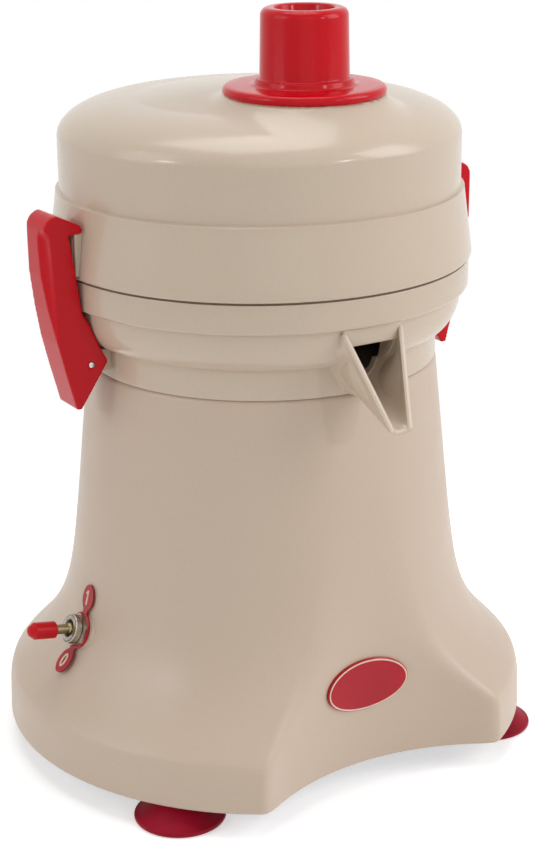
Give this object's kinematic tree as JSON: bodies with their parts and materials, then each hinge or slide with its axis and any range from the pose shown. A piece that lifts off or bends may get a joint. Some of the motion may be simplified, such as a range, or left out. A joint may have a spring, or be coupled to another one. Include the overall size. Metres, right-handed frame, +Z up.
{
  "type": "juice extractor",
  "caption": "Centrifugal juice extractor: bell housing on suction feet, bowl with pouring spout, clamped lid with feed chute and pusher, toggle switch.",
  "frame": {"origin": "on the worktop, under the axis of the bowl and motor", "axes": "+Z up; the spout and badge face -Y; the clamps lie on the X axis, the toggle switch on the -X side"},
  "size_m": [0.2511, 0.2237, 0.3505],
  "materials": {
    "cream_enamel": "satin stove enamel on cast aluminium",
    "cream_plastic": "glossy moulded plastic",
    "ivory_plastic": "smooth moulded plastic",
    "red_plastic": "glossy moulded plastic",
    "red_vinyl": "soft dipped vinyl",
    "red_rubber": "moulded rubber",
    "red_badge": "enamelled thin metal",
    "pale_paint": "screen-printed paint",
    "nickel_plate": "nickel plate",
    "brass": "dull plated brass",
    "zinc_steel": "zinc plate",
    "black_nylon": "moulded nylon",
    "dark_phenolic": "moulded phenolic",
    "white_plastic": "moulded plastic",
    "black_rubber": "moulded rubber",
    "cast_aluminium": "as cast and machined",
    "lamination_steel": "stacked laminations",
    "copper_enamel": "enamelled wire",
    "bearing_steel": "ground steel",
    "stainless_steel": "brushed stainless steel",
    "grey_plastic": "moulded plastic"
  },
  "bodies": {
    "housing": {"base_shell": "cream_enamel", "base_plate": "zinc_steel", "base_plate_screws": "zinc_steel", "foot_front_left": "red_rubber", "foot_front_right": "red_rubber", "foot_rear_left": "red_rubber", "foot_rear_right": "red_rubber", "foot_studs": "zinc_steel", "cable_gland": "black_nylon", "gland_cap_nut": "black_nylon", "gland_locknut": "black_nylon", "terminal_block": "white_plastic", "run_capacitor": "white_plastic", "capacitor_clip": "zinc_steel", "front_badge": "red_badge", "switch_body": "dark_phenolic", "switch_bushing": "nickel_plate", "switch_lock_washer": "nickel_plate", "switch_plate": "red_badge", "switch_digits": "pale_paint", "switch_hex_nut": "nickel_plate", "switch_ring_nut": "nickel_plate", "motor_isolators": "black_rubber", "motor_mount_screws": "zinc_steel", "upper_end_bell": "cast_aluminium", "lower_end_bell": "cast_aluminium", "stator_stack": "lamination_steel", "stator_windings": "copper_enamel", "motor_through_bolts": "zinc_steel", "upper_bearing": "bearing_steel", "lower_bearing": "bearing_steel", "shaft_seal": "black_rubber", "juice_bowl": "cream_plastic", "lid_gasket": "black_rubber", "lid": "cream_plastic", "feed_chute": "ivory_plastic", "left_clamp_pin": "bearing_steel", "right_clamp_pin": "bearing_steel"},
    "rotor": {"motor_shaft": "bearing_steel", "motor_rotor": "cast_aluminium", "cooling_fan": "grey_plastic", "drive_hub": "cast_aluminium", "strainer_basket": "stainless_steel", "grater_disc": "stainless_steel", "basket_nut": "stainless_steel"},
    "left_clamp": {"left_clamp": "red_plastic"},
    "right_clamp": {"right_clamp": "red_plastic"},
    "pusher": {"pusher": "red_plastic"},
    "switch_lever": {"switch_lever": "brass", "switch_lever_cap": "red_vinyl"}
  },
  "joints": [
    {"name": "rotor_spin", "type": "hinge", "parent": "housing", "child": "rotor", "pos_m": [0, 0, 0.1887], "axis": [0, 0, 1], "continuous": true},
    {"name": "left_clamp_swing", "type": "hinge", "parent": "housing", "child": "left_clamp", "pos_m": [-0.0925, 0, 0.1979], "axis": [0, -1, 0], "range_deg": [0, 32]},
    {"name": "right_clamp_swing", "type": "hinge", "parent": "housing", "child": "right_clamp", "pos_m": [0.0925, 0, 0.1979], "axis": [0, 1, 0], "range_deg": [0, 32]},
    {"name": "pusher_slide", "type": "slide", "parent": "housing", "child": "pusher", "axis": [0, 0, 1], "range_m": [0, 0.085]},
    {"name": "switch_throw", "type": "hinge", "parent": "housing", "child": "switch_lever", "pos_m": [-0.10443, 0, 0.07012], "axis": [0, 1, 0], "range_deg": [0, 27]}
  ]
}
